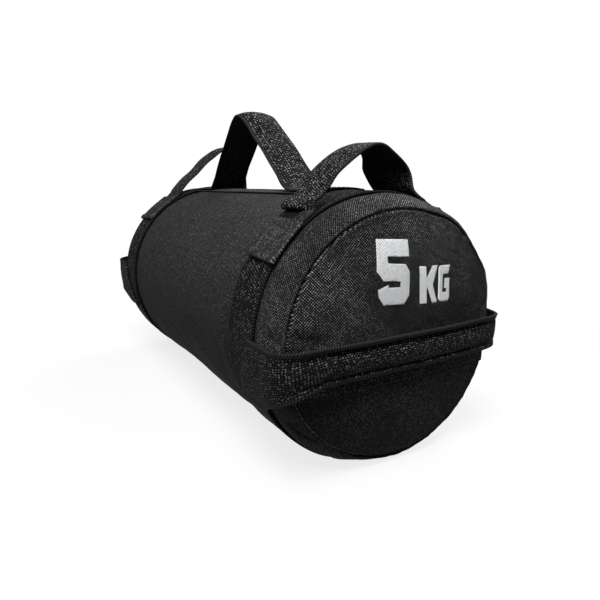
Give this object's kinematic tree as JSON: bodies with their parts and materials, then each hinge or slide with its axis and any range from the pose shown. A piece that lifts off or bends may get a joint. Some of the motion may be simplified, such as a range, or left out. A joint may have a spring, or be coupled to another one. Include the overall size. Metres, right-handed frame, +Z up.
{
  "type": "weighted training bag",
  "caption": "Filled cylindrical fabric training bag with webbing bands, cross handles over the top, a lengthwise top handle and a handle across each end.",
  "frame": {"origin": "on the ground under the middle of the bag, halfway along its length", "axes": "+X along the bag towards its marked near end, +Z up, so -Y is the side seen in the picture"},
  "size_m": [0.4554, 0.2088, 0.2696],
  "materials": {
    "barrel_sleeve": "fine matt fabric with a slight sheen",
    "near_shoulder": "woven matt fabric",
    "far_shoulder": "woven matt fabric",
    "near_end_disc": "woven matt fabric",
    "far_end_disc": "woven matt fabric",
    "near_girth_band": "coarse woven webbing",
    "far_girth_band": "coarse woven webbing",
    "near_cross_tab_left": "coarse woven webbing",
    "near_cross_tab_right": "coarse woven webbing",
    "far_cross_tab_left": "coarse woven webbing",
    "far_cross_tab_right": "coarse woven webbing",
    "top_runner": "coarse woven webbing",
    "top_handle_near_foot": "coarse woven webbing",
    "top_handle_far_foot": "coarse woven webbing",
    "near_end_patch_left": "coarse woven webbing",
    "near_end_patch_right": "coarse woven webbing",
    "far_end_patch_left": "coarse woven webbing",
    "far_end_patch_right": "coarse woven webbing",
    "near_end_strip": "coarse woven webbing",
    "far_end_strip": "coarse woven webbing",
    "inner_liner": "woven plastic cloth",
    "liner_tie": "coarse woven webbing",
    "filling": "loose granulate",
    "near_cross_handle": "coarse woven webbing",
    "far_cross_handle": "coarse woven webbing",
    "top_handle": "coarse woven webbing",
    "near_end_handle": "coarse woven webbing",
    "far_end_handle": "coarse woven webbing"
  },
  "bodies": {
    "bag": {"barrel_sleeve": "barrel_sleeve", "near_shoulder": "near_shoulder", "far_shoulder": "far_shoulder", "near_end_disc": "near_end_disc", "far_end_disc": "far_end_disc", "near_girth_band": "near_girth_band", "far_girth_band": "far_girth_band", "near_cross_tab_left": "near_cross_tab_left", "near_cross_tab_right": "near_cross_tab_right", "far_cross_tab_left": "far_cross_tab_left", "far_cross_tab_right": "far_cross_tab_right", "top_runner": "top_runner", "top_handle_near_foot": "top_handle_near_foot", "top_handle_far_foot": "top_handle_far_foot", "near_end_patch_left": "near_end_patch_left", "near_end_patch_right": "near_end_patch_right", "far_end_patch_left": "far_end_patch_left", "far_end_patch_right": "far_end_patch_right", "near_end_strip": "near_end_strip", "far_end_strip": "far_end_strip", "inner_liner": "inner_liner", "liner_tie": "liner_tie", "filling": "filling"},
    "near_cross": {"near_cross_handle": "near_cross_handle"},
    "far_cross": {"far_cross_handle": "far_cross_handle"},
    "top": {"top_handle": "top_handle"},
    "near_end": {"near_end_handle": "near_end_handle"},
    "far_end": {"far_end_handle": "far_end_handle"}
  },
  "joints": [
    {"name": "near_cross_swing", "type": "hinge", "parent": "bag", "child": "near_cross", "pos_m": [0.163, -0.004, 0.18773], "axis": [0, 0.999, 0.0436], "range_deg": [-20, 20], "stiffness_Nm_per_rad": 0.06},
    {"name": "far_cross_swing", "type": "hinge", "parent": "bag", "child": "far_cross", "pos_m": [-0.163, 0, 0.18981], "axis": [0, 1, 0], "range_deg": [-25, 25], "stiffness_Nm_per_rad": 0.06},
    {"name": "top_swing", "type": "hinge", "parent": "bag", "child": "top", "pos_m": [-0.007, 0, 0.1998], "axis": [1, 0, 0], "range_deg": [-25, 25], "stiffness_Nm_per_rad": 0.06},
    {"name": "near_end_swing", "type": "hinge", "parent": "bag", "child": "near_end", "pos_m": [0.1831, 0, 0.0781], "axis": [0, 1, 0], "range_deg": [-10, 10], "stiffness_Nm_per_rad": 0.25},
    {"name": "far_end_swing", "type": "hinge", "parent": "bag", "child": "far_end", "pos_m": [-0.1831, 0, 0.0861], "axis": [0, 1, 0], "range_deg": [-10, 10], "stiffness_Nm_per_rad": 0.25}
  ]
}
